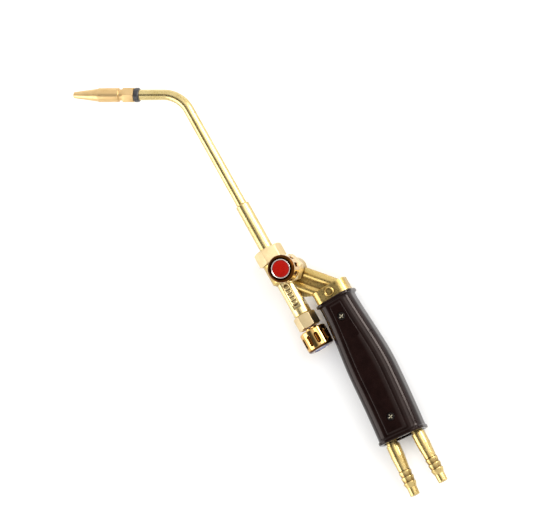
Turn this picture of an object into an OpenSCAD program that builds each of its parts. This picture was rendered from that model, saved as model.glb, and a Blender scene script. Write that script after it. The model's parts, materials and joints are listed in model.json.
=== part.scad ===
// Lampwork torch: a low-pressure injector torch with two needle valves, a bent mixing tube,
// a two-part moulded handle and two hose tails. Millimetres. The torch lies on its side:
// -X is the way the flame points, and +Z is the way the acetylene knob faces.

/* [Neck] */
// Lean of the ejector axis away from the -Y direction
neck_tilt = 30; // [25:1:35]
// Distance along the ejector axis from the valve body to the corner of the bend
neck_len = 149.4; // [120:1:200]
// Centreline radius of the bend
bend_r = 22; // [16:1:28]
// Outside diameter of the mixing tube
tube_d = 8; // [7.6:0.1:8.2]
// Bore of the mixing tube
tube_bore_d = 5.2; // [4.8:0.1:5.6]
// Straight length of tube between the bend and the seal ring
tube_end_len = 18.6; // [12:0.5:30]
// Outside diameter of the ejector sleeve
sleeve_d = 10.5; // [10:0.1:10.8]

/* [Welding tip] */
// Length of the tapered nose
nose_len = 19.2; // [12:0.5:28]
// Length of the round barrel
tip_barrel_len = 16.1; // [10:0.5:24]
// Diameter of the round barrel
tip_barrel_d = 10.5; // [10:0.1:11]
// Across flats of the tip's hexagon
tip_hex_af = 10.6; // [10:0.1:11.5]
// Diameter of the flame hole
orifice_d = 1.2; // [0.6:0.1:2]

/* [Valves] */
// Across flats of the union nut and of the acetylene gland nut
large_hex_af = 19.4; // [19:0.1:20.5]
// Across flats of the oxygen gland nut
small_hex_af = 15.2; // [14.4:0.1:15.6]
// Diameter of both knobs
knob_d = 20.8; // [19:0.1:22]
// Number of grip flutes round a knob
flute_count = 10; // [6:1:10]
// Diameter of both needle spindles
spindle_d = 4; // [3.6:0.1:4.2]

/* [Handle] */
// Length of the handle along its curve
handle_len = 115.7; // [100:0.1:130]
// Angle that the handle curves through
handle_bend = 6.3; // [3:0.1:10]
// Width of the handle behind its front flange
handle_front_w = 26.6; // [26.6:0.2:29]
// Width of the handle ahead of its rear flange
handle_rear_w = 35.6; // [35.4:0.2:38]
// Thickness of the handle
handle_t = 26; // [25:0.5:28]
// Wall of the moulded covers
cover_wall = 2; // [1.8:0.1:2.1]

/* [Hose tails] */
// Length of a hose tail outside the handle
tail_len = 41.5; // [38:0.5:50]
// Diameter over the barbs
barb_d = 9.8; // [9.4:0.1:10.4]

/* [Hidden] */
$fn = 64;

// Clearances
fit = 0.05;
gap = 0.1;
// How far a cutter stands out of what it cuts, and the length of one that goes right through
over = 1;
through = 60;

// Chamfers on the corners of every nut
hex_chamfer_from = 1.03;
hex_chamfer_slope = 0.6;

// Tip and tube, measured from the end of the bend towards the nose
bend_angle = 90 - neck_tilt;
bend_tangent = bend_r * tan(bend_angle / 2);
seal_len = 4.2;
seal_r = 5.5;
tip_hex_len = 8.5;
tip_groove_len = 3.1;
tip_start = tube_end_len + seal_len + gap;
tip_end = tip_start + tip_hex_len + tip_groove_len + tip_barrel_len + nose_len;
nose_back_d = 9.6;
nose_front_d = 4.8;
nose_chamfer = 0.8;
tip_groove_d = 8.5;
tip_edge = 0.4;
tip_thread_r = 3.5;
tip_thread_len = 8.2;
adapter_spigot_len = 10;
gas_bore_r = 1.5;

// Ejector and union nut, measured along the ejector axis, positive towards the oxygen knob
sleeve_start = -55;
sleeve_socket = -43;
collar_start = -14.7;
collar_end = -12.1;
collar_r = 7.2;
spigot_start = -12;
spigot_r = 8;
nose_seat_end = -9;
nose_seat_r = 4.5;
cone_insert_r = 3.2;
union_start = -16.8;
union_end = -5.7;
union_lip = 1.9;
union_clock = 43;
union_clearance = 0.3;
cone_insert_start = -33;
throat_r = 1.1;
throat_start = -20;
throat_len = 4;

// Forged body, measured along the ejector axis
barrel_start = -5.5;
barrel_end = 9.6;
barrel_r = 9;
shoulder_end = 12;
stem_r = 7;
stem_w = 12.4;
collar_neck_start = 34;
collar_neck_end = 39.3;
collar_neck_r = 6.9;
oxygen_nut_start = 39.5;
oxygen_nut_clock = 51;
oxygen_seat = 4.7;
oxygen_thread_r = 5.5;
oxygen_chamber_r = 3.9;
nozzle_thread_r = 2.9;
nozzle_seat = -2.1;
nozzle_end = 3.5;

// Cap that the handle is clamped to, square to the ejector axis
cap_q = 27.6;
cap_start = 30.6;
cap_end = 40.7;
cap_w = 27.6;
cap_h = 19;
cap_corner = 6.6;
neck_w = 21.4;
neck_h = 13;
neck_end = 44.3;
clamp_w = 21.9;
clamp_h = 17;
clamp_end = 47.9;
ring_mark_r = 3.4;
ring_mark_wall = 0.7;
ring_mark_rise = 0.5;

// Acetylene valve, square to the ejector axis
acetylene_q = 11.1;
acetylene_t = 6.5;
boss_r = 8.4;
boss_bottom = -6.5;
boss_top = 12.8;
acetylene_nut_start = 13;
acetylene_nut_clock = 49;
acetylene_seat = -4.6;
acetylene_thread_r = 6.6;
acetylene_chamber_r = 4.6;

// Arms that carry the gas between the cap and the valves
arm_r = 4.1;
web_t = 5.2;
arm_bore_r = 1.6;
outlet_bore_r = 1.1;
stem_panel_w = 4.8;
stem_panel_run = 13.6;
stem_panel_t = 22.9;
panel_depth = 0.5;
tick_count = 5;
tick_pitch = 3;
tick_w = 3;
tick_t = 1.4;
tick_rise = 0.4;
oxygen_arm = [[0, 10.2], [20.6, 34.2]];
acetylene_arm = [[11.1, 6.5], [34.9, 34.2]];
acetylene_outlet = [[11.1, 6.5], [1.5, -4.5]];
crotch_web = [[0, 12], [5, 27.5], [13, 31.2], [18, 31.2]];

// Valve parts, measured outward from the start of the gland nut
nut_len = 10.8;
nut_wall = 2.4;
gland_spigot_len = 8;
chamber_depth = 6.5;
washer_t = 0.9;
packing_t = 2.8;
follower_len = 2.8;
needle_len = 4;
needle_point_r = 0.4;
spindle_thread_r = 3;
spindle_thread_len = 6;
spindle_travel_room = 2;
// Height above a needle's point where it closes the edge of its seat
seat_edge = 2.9;
valve_bore_r = spindle_thread_r + fit;
knob_start = 11.4;
knob_h = 17.2;
knob_hub_r = 4.6;
knob_hub_h = 1.5;
knob_edge_r = 2.3;
knob_skirt = 0.8;
knob_socket = 9.2;
knob_web_top = 10.8;
screw_head_r = 2.8;
screw_head_h = 2;
screw_r = 1.2;
screw_slot = 0.7;
screw_pocket_gap = 0.2;
disc_recess_r = 7.25;
disc_recess_depth = 1.6;
disc_r = 6.4;
ring_wall = 0.7;
flute_r = 1.6;
flute_out = 0.3;
flute_ends = [6.8, 12.2];
oxygen_knob_clock = 0;
acetylene_knob_clock = -12;

// Gas pipes inside the handle: [q, t] where each leaves the cap and where its tail leaves the handle
pipe_r = 3.2;
pipe_bore_r = 2;
pipe_socket = 6.5;
oxygen_pipe_ends = [[21.2, 40.7], [11, 156.8]];
acetylene_pipe_ends = [[34.2, 40.7], [31.9, 158.4]];

// Hose tails, measured from where they leave the handle
tail_root = -9;
tail_root_r = 4.4;
tail_socket = 7.6;
pipe_end_gap = 1.5;
tail_shoulder = 0.5;
tail_base_r = 5.2;
tail_base_end = 10;
tail_waist_r = 4.4;
tail_waist_end = 22;
tail_pin_r = 3.7;
barb_root_r = 4.2;
barb_land = 0.7;
tail_pin_len = 6.2;
tail_bore_r = 2;
barb_count = 3;
tail_chamfer = 0.4;

// Height of the handle's end flanges, which the torch lies on
flange_extra = 1.7;
// Share of that height which the front and the rear flange add to the sides
flange_sides = [1, 0.35];

// The row's origin is the middle of the base of the torch's box, which reaches from the nose to the
// hose tails, and from the seal ring to the oxygen hose tail
function row_x(p) = p[0] * cos(neck_tilt) + p[1] * sin(neck_tilt);
function row_y(p) = p[0] * sin(neck_tilt) - p[1] * cos(neck_tilt);
function unit(v) = v / norm(v);
function tail_end(ends) = ends[1] + tail_len * unit(ends[1] - ends[0]);
function tail_run(ends) = unit(ends[1] - ends[0]);
low_x = -neck_len * sin(neck_tilt) - bend_tangent - tip_end;
high_x = row_x(tail_end(acetylene_pipe_ends) - tail_chamfer * tail_run(acetylene_pipe_ends))
    - tail_pin_r * row_y(tail_run(acetylene_pipe_ends));
low_y = row_y(tail_end(oxygen_pipe_ends)) - (tail_pin_r - tail_chamfer) * row_x(tail_run(oxygen_pipe_ends));
high_y = neck_len * cos(neck_tilt) + seal_r;
body_pos = [-(low_x + high_x) / 2, -(low_y + high_y) / 2, handle_t / 2 + flange_extra];

// Handle curve
handle_start_q = cap_q;
handle_start_t = cap_end + gap;
handle_r = handle_len / (handle_bend * PI / 180);
swell_len = 65;
corner_front = 8.2;
corner_rear = 9.4;
panel_rise = 0.4;
panel_edge = 0.35;
grip_len = 3.4;
lip_len = 1.4;
lip_depth = 2;
plate_t = 3;
plate_back = handle_len - lip_len - 0.1;
corner_steps = 8;
middle_steps = 14;
screw_stations = [15.7, 99];
handle_screw_r = 1.5;
handle_boss_r = 2.9;
handle_head_r = 3.1;
handle_head_h = 1.8;
insert_r = 2.05;
insert_len = 6;
cross_w = 0.8;
cross_l = 3.2;
cross_depth = 1;

// ---------------------------------------------------------------- frames

// Frame of the ejector axis: x is q, across it towards the handle; y is up; z is t, along it
module in_ejector_frame() {
    translate(body_pos) rotate([0, 0, neck_tilt]) rotate([90, 0, 0]) children();
}

// Frame of the acetylene valve: z is up
module in_acetylene_frame() {
    in_ejector_frame() translate([acetylene_q, 0, acetylene_t]) rotate([-90, 0, 0]) children();
}

// Frame of the straight end of the tube: z points along the flame
module in_tip_frame() {
    tip_x = -(neck_len * sin(neck_tilt) + bend_tangent);
    tip_y = neck_len * cos(neck_tilt);
    translate(body_pos + [tip_x, tip_y, 0]) rotate([0, -90, 0]) children();
}

// Frame of a gas pipe: z runs along it and is 0 where it leaves the cap
module in_pipe_frame(ends) {
    lean = atan2(ends[1][0] - ends[0][0], ends[1][1] - ends[0][1]);
    in_ejector_frame() translate([ends[0][0], 0, ends[0][1]]) rotate([0, lean, 0]) children();
}

// Frame of a hose tail: z is 0 where it leaves the handle
module in_tail_frame(ends) {
    in_pipe_frame(ends) translate([0, 0, norm(ends[1] - ends[0])]) children();
}

// Frame of the handle a distance along its curve: x is across, y is up, z is along
module in_handle_frame(s) {
    turn = -handle_bend * s / handle_len;
    in_ejector_frame()
        translate([handle_start_q - handle_r * (1 - cos(turn)), 0, handle_start_t - handle_r * sin(turn)])
            rotate([0, turn, 0]) children();
}

// ---------------------------------------------------------------- shared shapes

// Hexagonal prism with its corners chamfered at both ends
module hex_prism(across_flats, len, clock) {
    corner_r = across_flats / sqrt(3);
    chamfer = corner_r - across_flats / 2 * hex_chamfer_from;
    intersection() {
        rotate([0, 0, clock]) cylinder(r = corner_r, h = len, $fn = 6);
        rotate_extrude() polygon([
            [0, 0], [corner_r - chamfer, 0], [corner_r + fit, chamfer * hex_chamfer_slope],
            [corner_r + fit, len - chamfer * hex_chamfer_slope], [corner_r - chamfer, len], [0, len]
        ]);
    }
}

// Flat plate with round corners, centred on the axis
module round_block(w, h, r, len) {
    linear_extrude(height = len) union() {
        square([w - 2 * r, h], center = true);
        square([w, h - 2 * r], center = true);
        for (x = [-1, 1], y = [-1, 1]) translate([x * (w / 2 - r), y * (h / 2 - r)]) circle(r = r);
    }
}

// Cylinder between two points of the plane of symmetry
module arm_bar(ends, r) {
    run = ends[1] - ends[0];
    translate([ends[0][0], 0, ends[0][1]]) rotate([0, atan2(run[0], run[1]), 0])
        cylinder(r = r, h = norm(run));
}

// Tube along the axis
module tube(outer_r, inner_r, start, end) {
    translate([0, 0, start]) difference() {
        cylinder(r = outer_r, h = end - start);
        translate([0, 0, -over]) cylinder(r = inner_r, h = end - start + 2 * over);
    }
}

// ---------------------------------------------------------------- tip and neck

module welding_tip() {
    hex_end = tip_start + tip_hex_len;
    barrel_from = hex_end + tip_groove_len;
    nose_from = barrel_from + tip_barrel_len;
    color("goldenrod") in_tip_frame() difference() {
        union() {
            translate([0, 0, tip_start]) hex_prism(tip_hex_af, tip_hex_len, 0);
            rotate_extrude() polygon([
                [0, tip_start + tip_hex_len / 2], [tip_groove_d / 2, tip_start + tip_hex_len / 2],
                [tip_groove_d / 2, barrel_from], [tip_barrel_d / 2 - tip_edge, barrel_from],
                [tip_barrel_d / 2, barrel_from + tip_edge], [tip_barrel_d / 2, nose_from - tip_edge],
                [tip_barrel_d / 2 - tip_edge, nose_from], [nose_back_d / 2, nose_from + tip_edge / 2],
                [nose_front_d / 2, tip_end - nose_chamfer],
                [nose_front_d / 2 - nose_chamfer, tip_end], [0, tip_end]
            ]);
        }
        translate([0, 0, tip_start - over]) cylinder(r = tip_thread_r + fit, h = tip_thread_len + over);
        translate([0, 0, tip_start]) cylinder(r = gas_bore_r, h = tip_end - tip_start - 2 * tip_hex_len);
        translate([0, 0, tip_start]) cylinder(d = orifice_d, h = tip_end - tip_start + over);
    }
}

module tip_seal_ring() {
    edge = 0.9;
    color("dimgray") in_tip_frame() translate([0, 0, tube_end_len]) difference() {
        rotate_extrude() union() {
            polygon([[0, 0], [seal_r - edge, 0], [seal_r - edge, seal_len], [0, seal_len]]);
            translate([0, edge]) square([seal_r, seal_len - 2 * edge]);
            for (z = [edge, seal_len - edge]) translate([seal_r - edge, z]) circle(r = edge);
        }
        translate([0, 0, -over]) cylinder(r = tube_d / 2 + fit, h = seal_len + 2 * over);
    }
}

module tip_adapter() {
    spigot_from = tube_end_len + seal_len - adapter_spigot_len;
    color("goldenrod") in_tip_frame() difference() {
        union() {
            translate([0, 0, spigot_from]) cylinder(d = tube_bore_d - 2 * fit, h = adapter_spigot_len + gap);
            translate([0, 0, tip_start - gap / 2]) cylinder(r = tip_thread_r, h = tip_thread_len);
        }
        translate([0, 0, spigot_from - over]) cylinder(r = gas_bore_r, h = through);
    }
}

// Sweep of one round section along the neck
module neck_sweep(r, start_extra, end_extra) {
    in_ejector_frame() union() {
        translate([0, 0, -neck_len + bend_tangent])
            cylinder(r = r, h = neck_len - bend_tangent + sleeve_socket + start_extra);
        translate([-bend_r, 0, -neck_len + bend_tangent]) rotate([-90, 0, 0])
            rotate_extrude(angle = bend_angle) translate([bend_r, 0]) circle(r = r);
    }
    in_tip_frame() cylinder(r = r, h = tube_end_len + seal_len + end_extra);
}

module mixing_tube() {
    color("khaki") difference() {
        neck_sweep(tube_d / 2, 0, -gap);
        neck_sweep(tube_bore_d / 2, over, over);
    }
}

module ejector_sleeve() {
    sleeve_r = sleeve_d / 2;
    mouth = 0.8;
    color("khaki") in_ejector_frame() difference() {
        rotate_extrude() polygon([
            [0, sleeve_start], [sleeve_r - mouth, sleeve_start], [sleeve_r, sleeve_start + mouth],
            [sleeve_r, collar_start], [collar_r, collar_start], [collar_r, collar_end],
            [nose_seat_r, collar_end], [nose_seat_r, nose_seat_end], [0, nose_seat_end]
        ]);
        translate([0, 0, sleeve_start - over])
            cylinder(d = tube_d + 2 * fit, h = sleeve_socket + gap - sleeve_start + over);
        translate([0, 0, sleeve_start]) cylinder(d = tube_bore_d, h = -sleeve_start);
        translate([0, 0, cone_insert_start]) cylinder(r = cone_insert_r + fit, h = through);
    }
}

module ejector_cone() {
    insert_from = cone_insert_start + gap;
    mouth_r = 2.6;
    color("goldenrod") in_ejector_frame() difference() {
        translate([0, 0, insert_from]) cylinder(r = cone_insert_r, h = nose_seat_end - insert_from);
        rotate_extrude() polygon([
            [0, insert_from - over], [tube_bore_d / 2, insert_from - over], [throat_r, throat_start],
            [throat_r, throat_start + throat_len], [mouth_r, nose_seat_end + over], [0, nose_seat_end + over]
        ]);
    }
}

module union_nut() {
    color("palegoldenrod") in_ejector_frame() difference() {
        translate([0, 0, union_start]) hex_prism(large_hex_af, union_end - union_start, union_clock);
        translate([0, 0, union_start - over]) cylinder(r = sleeve_d / 2 + union_clearance, h = through);
        translate([0, 0, union_start + union_lip]) cylinder(r = spigot_r + gap, h = through);
    }
}

// ---------------------------------------------------------------- forged body

module injector_nozzle() {
    jet_r = 0.5;
    nose_r = 1;
    nose_from = nose_seat_end + 2;
    head_r = 3.4;
    head_from = -3.6;
    color("goldenrod") in_ejector_frame() difference() {
        rotate_extrude() polygon([
            [0, nose_from], [nose_r, nose_from], [head_r, head_from], [head_r, nozzle_seat],
            [nozzle_thread_r, nozzle_seat], [nozzle_thread_r, nozzle_end], [0, nozzle_end]
        ]);
        translate([0, 0, -through / 2]) cylinder(r = jet_r, h = through);
        translate([0, 0, head_from]) cylinder(r = gas_bore_r, h = through);
    }
}

module body_outside() {
    // Threaded spigot, barrel, shoulder and collar on the ejector axis
    rotate_extrude() polygon([
        [0, spigot_start], [spigot_r, spigot_start], [spigot_r, barrel_start],
        [barrel_r, barrel_start], [barrel_r, barrel_end], [stem_r - 0.4, shoulder_end],
        [stem_r - 0.4, barrel_end + 4], [0, barrel_end + 4]
    ]);
    // Stem with four flats
    translate([0, 0, barrel_end]) intersection() {
        cylinder(r = stem_r, h = collar_neck_start - barrel_end + gap);
        translate([-stem_w / 2, -stem_w / 2, 0]) cube([stem_w, stem_w, collar_neck_start]);
    }
    rotate_extrude() polygon([
        [0, collar_neck_start], [collar_neck_r, collar_neck_start], [collar_neck_r, collar_neck_end],
        [oxygen_thread_r, collar_neck_end], [oxygen_thread_r, oxygen_nut_start + gland_spigot_len],
        [0, oxygen_nut_start + gland_spigot_len]
    ]);
    // Boss and threaded spigot of the acetylene valve
    translate([acetylene_q, 0, acetylene_t]) rotate([-90, 0, 0]) rotate_extrude() polygon([
        [0, boss_bottom], [boss_r - 1, boss_bottom], [boss_r, boss_bottom + 1], [boss_r, boss_top],
        [acetylene_thread_r, boss_top], [acetylene_thread_r, acetylene_nut_start + gland_spigot_len],
        [0, acetylene_nut_start + gland_spigot_len]
    ]);
    // Arms and the web between them
    arm_bar(oxygen_arm, arm_r);
    arm_bar(acetylene_arm, arm_r);
    rotate([90, 0, 0]) translate([0, 0, -web_t / 2]) linear_extrude(height = web_t)
        polygon(concat(oxygen_arm, [acetylene_arm[1], acetylene_arm[0]]));
    rotate([90, 0, 0]) translate([0, 0, -web_t / 2]) linear_extrude(height = web_t) polygon(crotch_web);
    // Cap, neck and clamping flange for the handle
    translate([cap_q, 0, cap_start]) round_block(cap_w, cap_h, cap_corner, cap_end - cap_start);
    translate([cap_q, 0, cap_end - over]) round_block(neck_w, neck_h, 3, neck_end - cap_end + 2 * over);
    translate([cap_q, 0, neck_end]) round_block(clamp_w, clamp_h, 4, clamp_end - neck_end);
    // Plain raised ring on the face of the cap
    translate([cap_q, 0, (cap_start + cap_end) / 2]) rotate([-90, 0, 0])
        tube(ring_mark_r, ring_mark_r - ring_mark_wall, cap_h / 2 - over, cap_h / 2 + ring_mark_rise);
}

module valve_bore(seat, top) {
    translate([0, 0, seat + seat_edge]) cylinder(r = valve_bore_r, h = top - seat);
}

module packing_chamber(nut_start, r) {
    translate([0, 0, nut_start + gland_spigot_len - chamber_depth]) cylinder(r = r, h = chamber_depth + over);
}

module body_bores() {
    oxygen_top = oxygen_nut_start + gland_spigot_len;
    acetylene_top = acetylene_nut_start + gland_spigot_len;
    // Mixing chamber, injector thread and oxygen way along the ejector axis
    translate([0, 0, spigot_start - over])
        cylinder(r = nose_seat_r + 2 * fit, h = nozzle_seat + gap - spigot_start + over);
    translate([0, 0, spigot_start]) cylinder(r = nozzle_thread_r + fit, h = nozzle_end + gap - spigot_start);
    cylinder(r = arm_bore_r, h = oxygen_top);
    valve_bore(oxygen_seat, oxygen_top);
    packing_chamber(oxygen_nut_start, oxygen_chamber_r);
    // Acetylene valve chamber and its way into the mixing chamber
    translate([acetylene_q, 0, acetylene_t]) rotate([-90, 0, 0]) {
        valve_bore(acetylene_seat, acetylene_top);
        packing_chamber(acetylene_nut_start, acetylene_chamber_r);
        translate([0, 0, acetylene_seat - gap]) cylinder(r = arm_bore_r, h = needle_len);
    }
    translate([0, acetylene_seat + outlet_bore_r, 0]) arm_bar(acetylene_outlet, outlet_bore_r);
    // Gas ways in the arms and the sockets for the pipes
    arm_bar(oxygen_arm, arm_bore_r);
    arm_bar(acetylene_arm, arm_bore_r);
    // Shallow panel on the front flat of the stem
    translate([0, stem_w / 2 - panel_depth, stem_panel_t]) rotate([-90, 0, 0])
        linear_extrude(height = over) union() {
            square([stem_panel_w, stem_panel_run], center = true);
            for (y = [-1, 1]) translate([0, y * stem_panel_run / 2]) circle(d = stem_panel_w);
        }
}

module torch_body() {
    color("darkkhaki") difference() {
        in_ejector_frame() difference() {
            body_outside();
            body_bores();
        }
        for (ends = [oxygen_pipe_ends, acetylene_pipe_ends]) in_pipe_frame(ends)
            translate([0, 0, -pipe_socket]) cylinder(r = pipe_r + fit, h = through);
    }
    // Plain raised bars in the stem's panel
    color("darkkhaki") in_ejector_frame() for (i = [1:tick_count])
        translate([0, stem_w / 2 - panel_depth, stem_panel_t + (i - (tick_count + 1) / 2) * tick_pitch])
            translate([-tick_w / 2, -over, -tick_t / 2]) cube([tick_w, over + tick_rise, tick_t]);
}

// ---------------------------------------------------------------- valves

module spindle(seat, nut_start) {
    r = spindle_d / 2;
    thread_from = nut_start + gland_spigot_len - chamber_depth - spindle_travel_room - spindle_thread_len;
    top = nut_start + knob_start + knob_socket - gap;
    difference() {
        rotate_extrude() polygon([
            [0, seat], [needle_point_r, seat], [r, seat + needle_len], [r, thread_from],
            [spindle_thread_r, thread_from], [spindle_thread_r, thread_from + spindle_thread_len],
            [r, thread_from + spindle_thread_len], [r, top], [0, top]
        ]);
        translate([0, 0, top - 5]) cylinder(r = screw_r + fit, h = 5 + over);
    }
}

module packing_washer(nut_start, r) {
    from = nut_start + gland_spigot_len - chamber_depth + gap;
    tube(r - fit, spindle_d / 2 + gap, from, from + washer_t);
}

module packing(nut_start, r) {
    from = nut_start + gland_spigot_len - chamber_depth + washer_t + 2 * gap;
    tube(r - fit, spindle_d / 2 + fit, from, from + packing_t - 2 * gap);
}

module gland_nut(nut_start, across_flats, thread_r, follower_r, clock) {
    follower_from = nut_len - nut_wall - follower_len;
    translate([0, 0, nut_start]) difference() {
        hex_prism(across_flats, nut_len, clock);
        difference() {
            translate([0, 0, -over]) cylinder(r = thread_r + fit, h = nut_len - nut_wall + over);
            translate([0, 0, follower_from]) cylinder(r = follower_r - gap, h = nut_len);
        }
        translate([0, 0, -over]) cylinder(r = spindle_d / 2 + gap, h = nut_len + 2 * over);
    }
}

// Cutter for one grip flute, which is closed at both ends
module flute() {
    translate([0, 0, flute_ends[0]]) cylinder(r = flute_r, h = flute_ends[1] - flute_ends[0]);
    for (z = flute_ends) translate([0, 0, z]) sphere(r = flute_r);
}

// Knob: z is 0 on the side of the gland nut
module knob(clock) {
    r = knob_d / 2;
    difference() {
        rotate_extrude() union() {
            polygon([
                [0, 0], [knob_hub_r, 0], [knob_hub_r, knob_hub_h], [r - knob_skirt, knob_hub_h],
                [r, knob_hub_h + knob_skirt], [r, knob_h - knob_edge_r], [0, knob_h - knob_edge_r]
            ]);
            square([r - knob_edge_r, knob_h]);
            translate([r - knob_edge_r, knob_h - knob_edge_r]) circle(r = knob_edge_r);
        }
        for (i = [1:flute_count]) rotate([0, 0, clock + 360 / flute_count * i])
            translate([r + flute_out, 0, 0]) flute();
        translate([0, 0, -over]) cylinder(r = spindle_d / 2 + fit, h = knob_socket + over);
        translate([0, 0, -over]) cylinder(r = screw_r + fit, h = knob_h);
        translate([0, 0, knob_web_top]) cylinder(r = screw_head_r + screw_pocket_gap, h = knob_h);
        translate([0, 0, knob_h - disc_recess_depth]) cylinder(r = disc_recess_r, h = knob_h);
    }
}

module knob_screw() {
    shank = 4;
    difference() {
        union() {
            translate([0, 0, knob_web_top + gap]) cylinder(r = screw_head_r, h = screw_head_h);
            translate([0, 0, knob_web_top - shank]) cylinder(r = screw_r, h = shank + over);
        }
        translate([-screw_head_r, -screw_slot / 2, knob_web_top + screw_head_h - screw_slot])
            cube([2 * screw_head_r, screw_slot, 2 * screw_slot]);
    }
}

module cap_ring() {
    tube(disc_recess_r - fit, disc_recess_r - ring_wall, knob_h - disc_recess_depth + gap, knob_h + 0.2);
}

module cap_disc() {
    translate([0, 0, knob_h - disc_recess_depth + gap]) cylinder(r = disc_r, h = disc_recess_depth - 0.2);
}

module oxygen_spindle() { color("silver") in_ejector_frame() spindle(oxygen_seat, oxygen_nut_start); }
module oxygen_packing_washer() {
    color("goldenrod") in_ejector_frame() packing_washer(oxygen_nut_start, oxygen_chamber_r);
}
module oxygen_packing() { color("white") in_ejector_frame() packing(oxygen_nut_start, oxygen_chamber_r); }
module oxygen_gland_nut() {
    color("palegoldenrod") in_ejector_frame()
        gland_nut(oxygen_nut_start, small_hex_af, oxygen_thread_r, oxygen_chamber_r, oxygen_nut_clock);
}
module in_oxygen_knob() { in_ejector_frame() translate([0, 0, oxygen_nut_start + knob_start]) children(); }
module oxygen_knob() { color("gold") in_oxygen_knob() knob(oxygen_knob_clock); }
module oxygen_knob_screw() { color("silver") in_oxygen_knob() knob_screw(); }
module oxygen_cap_ring() { color("silver") in_oxygen_knob() cap_ring(); }
module oxygen_cap_disc() { color("royalblue") in_oxygen_knob() cap_disc(); }

module acetylene_spindle() {
    color("silver") in_acetylene_frame() spindle(acetylene_seat, acetylene_nut_start);
}
module acetylene_packing_washer() {
    color("goldenrod") in_acetylene_frame() packing_washer(acetylene_nut_start, acetylene_chamber_r);
}
module acetylene_packing() {
    color("white") in_acetylene_frame() packing(acetylene_nut_start, acetylene_chamber_r);
}
module acetylene_gland_nut() {
    color("palegoldenrod") in_acetylene_frame() gland_nut(
        acetylene_nut_start, large_hex_af, acetylene_thread_r, acetylene_chamber_r, acetylene_nut_clock
    );
}
module in_acetylene_knob() {
    in_acetylene_frame() translate([0, 0, acetylene_nut_start + knob_start]) children();
}
module acetylene_knob() { color("gold") in_acetylene_knob() knob(acetylene_knob_clock); }
module acetylene_knob_screw() { color("silver") in_acetylene_knob() knob_screw(); }
module acetylene_cap_ring() { color("silver") in_acetylene_knob() cap_ring(); }
module acetylene_cap_disc() { color("firebrick") in_acetylene_knob() cap_disc(); }

// ---------------------------------------------------------------- pipes and hose tails

module gas_pipe(ends) {
    len = norm(ends[1] - ends[0]) - pipe_end_gap + pipe_socket - gap;
    color("peru") in_pipe_frame(ends) translate([0, 0, gap - pipe_socket]) difference() {
        cylinder(r = pipe_r, h = len);
        translate([0, 0, -over]) cylinder(r = pipe_bore_r, h = len + 2 * over);
    }
}

module hose_tail(ends) {
    barb_r = barb_d / 2;
    pin_start = tail_len - tail_pin_len;
    barb_pitch = (pin_start - tail_waist_end) / barb_count;
    color("goldenrod") in_tail_frame(ends) difference() {
        rotate_extrude() polygon(concat(
            [
                [0, tail_root], [tail_root_r, tail_root], [tail_root_r, tail_shoulder],
                [tail_base_r, tail_shoulder], [tail_base_r, tail_base_end], [tail_waist_r, tail_waist_end]
            ],
            [for (i = [0:barb_count - 1], p = [[barb_r, 0], [barb_r, barb_land], [barb_root_r, barb_pitch]])
                [p[0], tail_waist_end + i * barb_pitch + p[1]]],
            [
                [tail_pin_r, pin_start + barb_land], [tail_pin_r, tail_len - tail_chamfer],
                [tail_pin_r - tail_chamfer, tail_len], [0, tail_len]
            ]
        ));
        translate([0, 0, tail_root - over]) cylinder(r = pipe_r + fit, h = tail_socket + over);
        translate([0, 0, tail_root]) cylinder(r = tail_bore_r, h = tail_len - tail_root + over);
    }
}

module oxygen_pipe() { gas_pipe(oxygen_pipe_ends); }
module acetylene_pipe() { gas_pipe(acetylene_pipe_ends); }
module oxygen_hose_tail() { hose_tail(oxygen_pipe_ends); }
module acetylene_hose_tail() { hose_tail(acetylene_pipe_ends); }

// ---------------------------------------------------------------- handle

// Height that the end flange adds at a distance e from an end of the handle
function flange_rise(e) = lookup(
    e, [[0, 1.1], [0.6, flange_extra], [2.2, flange_extra], [2.8, 0.3], [grip_len, 0]]
);

// Stations along the handle where its section changes
stations = concat(
    [0, 0.6, 2.2, 2.8, grip_len, grip_len + 0.1, 5, 6],
    [for (i = [1:middle_steps]) 6 + i * (handle_len - 14.6) / middle_steps],
    [for (e = [6, 5.1, 5, 3.4, 2.8, 2.2, lip_len + 0.1, lip_len, 0.6, 0]) handle_len - e]
);

function swell(s) = let (f = min(1, s / swell_len)) f * f * (3 - 2 * f);
function half_width(s) = (handle_front_w + (handle_rear_w - handle_front_w) * swell(s)) / 2;
function corner_radius(s) = corner_front + (corner_rear - corner_front) * s / handle_len;
function edge_distance(s) = min(s, handle_len - s);
function side_share(s) = s < handle_len / 2 ? flange_sides[0] : flange_sides[1];
function panel_height(s) = panel_rise * min(1, max(0, edge_distance(s) - 5));

// Upper half of a rounded rectangle with a raised panel, from the +x side over to the -x side
function half_outline(w, h, r, rise) = let (panel_w = w - r - 2 * panel_edge) concat(
    [[w, gap / 2]],
    [for (i = [0:corner_steps]) let (a = 90 * i / corner_steps) [w - r + r * cos(a), h - r + r * sin(a)]],
    [[panel_w + panel_edge, h], [panel_w, h + rise], [-panel_w, h + rise], [-panel_w - panel_edge, h]],
    [for (i = [0:corner_steps]) let (a = 90 + 90 * i / corner_steps)
        [r - w + r * cos(a), h - r + r * sin(a)]],
    [[-w, gap / 2]]
);

function outer_outline(s) = let (rise = flange_rise(edge_distance(s))) half_outline(
    half_width(s) + rise * side_share(s), handle_t / 2 + rise, corner_radius(s), panel_height(s)
);

// Inside: a grip round the cap's neck, a hollow, and a lip each side of the rear plate
function inner_outline(s) =
    s <= grip_len ? half_outline(neck_w / 2 + gap, neck_h / 2 + gap, 3, 0) :
    s >= handle_len - lip_len || (s >= handle_len - 6.05 && s <= handle_len - 5.05)
        ? half_outline(half_width(s) - cover_wall, handle_t / 2 - cover_wall - lip_depth, 6, 0)
        : half_outline(half_width(s) - cover_wall, handle_t / 2 - cover_wall, 6, 0);

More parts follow.
